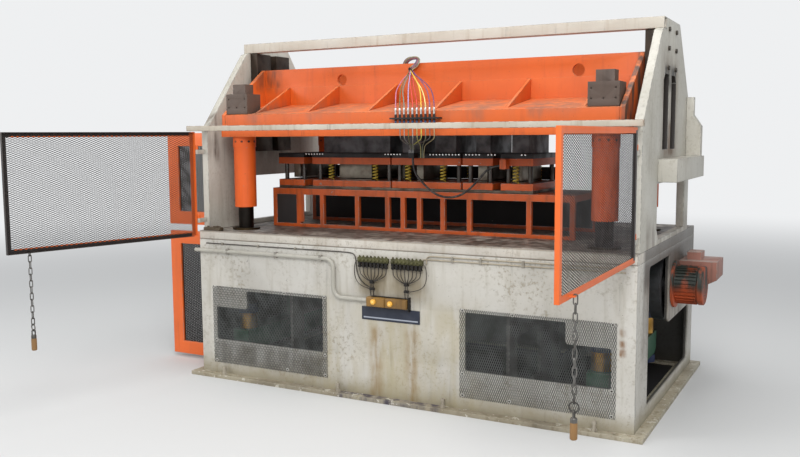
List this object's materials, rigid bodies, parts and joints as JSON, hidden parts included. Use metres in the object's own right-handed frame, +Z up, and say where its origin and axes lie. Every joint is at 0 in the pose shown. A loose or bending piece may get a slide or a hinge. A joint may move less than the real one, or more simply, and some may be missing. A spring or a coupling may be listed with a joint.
{
  "type": "mechanical press",
  "caption": "Long straight-sided under-driven press with four pull rods, small die stations, hinged mesh doors and guard panels.",
  "frame": {"origin": "on the floor under the centre of the base", "axes": "+X along the line to the operator's right, -Y towards the operator, +Z up"},
  "size_m": [3.765, 3.117, 2.32],
  "materials": {
    "base_cream": "worn cream paint with dirt",
    "bed_cream": "worn cream paint with oil stains",
    "frame_cream": "cream paint",
    "tube_cream": "cream paint",
    "ram_orange": "faded safety orange paint with drips",
    "clamp_brown": "dirty grey-brown paint",
    "screw_zinc": "dull zinc",
    "bronze": "oily bronze",
    "gib_steel": "ground steel with oil",
    "rail_cream": "cream paint",
    "bolt_black": "black oxide",
    "support_orange": "dirty safety orange paint",
    "shoe_orange": "safety orange paint, chipped",
    "panel_dark": "dark paint",
    "die_steel": "oily ground steel",
    "pin_steel": "bright steel",
    "tool_steel": "dark tool steel",
    "spring_yellow": "yellow spring steel",
    "case_green": "green paint",
    "crosshead_green": "green paint",
    "motor_orange": "orange paint",
    "guard_orange": "orange paint",
    "mesh_dark": "dark expanded metal",
    "conduit_white": "white conduit",
    "manifold_metal": "dark olive cast metal",
    "tube_plastic": "nylon tube",
    "box_brass": "golden brown lacquer",
    "plate_navy": "dark enamel",
    "hose_rubber": "black rubber",
    "plate_metal": "bare metal plate",
    "rod_steel": "oiled ground steel",
    "sleeve_orange": "safety orange paint",
    "collar_blue": "dark blue paint",
    "fitting_brass": "brass fittings",
    "wheel_iron": "dark iron",
    "door_orange": "bright safety orange paint",
    "chain_steel": "zinc-plated steel"
  },
  "bodies": {
    "press_frame": {"sole_frame": "base_cream", "levelling_screws": "screw_zinc", "base_side_plates": "base_cream", "base_end_plates": "base_cream", "base_stiffeners": "base_cream", "bed_plate": "bed_cream", "rod_bushes": "bronze", "end_frames": "frame_cream", "frame_gibs": "gib_steel", "shelf_beams": "frame_cream", "top_tie_tube": "tube_cream", "guard_rail": "rail_cream", "frame_bolts": "bolt_black", "hinge_brackets": "frame_cream", "die_support_frame": "support_orange", "support_panel": "panel_dark", "die_sub_plate": "die_steel", "lower_die_shoes": "shoe_orange", "die_guide_pins": "pin_steel", "lower_tool_blocks": "tool_steel", "die_springs": "spring_yellow", "crank_cases": "case_green", "drive_motor": "motor_orange", "motor_corbel": "base_cream", "end_guard_frames": "guard_orange", "end_guard_mesh": "mesh_dark", "window_guard_sheets": "mesh_dark", "conduit_pipe": "conduit_white", "lube_manifolds": "manifold_metal", "lube_tubes": "tube_plastic", "valve_boxes": "box_brass", "name_plate": "plate_navy"},
    "ram": {"ram_slab": "ram_orange", "ram_webs": "ram_orange", "ram_end_plates": "ram_orange", "ram_shelves": "ram_orange", "ram_gussets": "ram_orange", "ram_guide_shoes": "gib_steel", "rod_clamp_blocks": "clamp_brown", "pull_rods": "rod_steel", "guide_sleeves": "sleeve_orange", "crossheads": "crosshead_green", "brass_collars": "bronze", "rod_nuts": "collar_blue", "upper_die_shoes": "shoe_orange", "upper_tool_blocks": "tool_steel", "die_spacers": "die_steel", "air_bulkhead": "plate_metal", "air_fittings": "fitting_brass", "air_tubes": "tube_plastic", "die_hose": "hose_rubber"},
    "flywheel": {"flywheel": "wheel_iron", "flywheel_shaft": "rod_steel"},
    "line_shaft": {"line_shaft": "rod_steel"},
    "left_door": {"left_door_frame": "door_orange", "left_door_mesh": "mesh_dark"},
    "right_door": {"right_door_frame": "door_orange", "right_door_mesh": "mesh_dark"},
    "left_chain": {"left_chain": "chain_steel"},
    "right_chain": {"right_chain": "chain_steel"}
  },
  "joints": [
    {"name": "ram_slide", "type": "slide", "parent": "press_frame", "child": "ram", "axis": [0, 0, 1], "range_m": [0, 0.05], "deforming": ["die_springs"]},
    {"name": "flywheel_spin", "type": "hinge", "parent": "press_frame", "child": "flywheel", "pos_m": [1.46, 0.175, 0.7], "axis": [1, 0, 0], "continuous": true},
    {"name": "line_shaft_spin", "type": "hinge", "parent": "press_frame", "child": "line_shaft", "pos_m": [0, -0.11, 0.7], "axis": [1, 0, 0], "continuous": true},
    {"name": "left_door_hinge", "type": "hinge", "parent": "press_frame", "child": "left_door", "pos_m": [-1.484, -0.885, 0.975], "axis": [0, 0, 1], "range_deg": [-15, 105]},
    {"name": "right_door_hinge", "type": "hinge", "parent": "press_frame", "child": "right_door", "pos_m": [1.484, -0.885, 0.975], "axis": [0, 0, 1], "range_deg": [-90, 30]},
    {"name": "left_chain_swing", "type": "hinge", "parent": "left_door", "child": "left_chain", "pos_m": [-1.81837, -2.0015, 0.99], "axis": [0.2588, 0.9659, 0], "range_deg": [0, 30]},
    {"name": "right_chain_swing", "type": "hinge", "parent": "right_door", "child": "right_chain", "pos_m": [1.518, -2.05, 0.99], "axis": [0, -1, 0], "range_deg": [0, 30]}
  ],
  "couplings": [
    {"joint": "line_shaft_spin", "follows": "flywheel_spin", "ratio": -0.2}
  ]
}
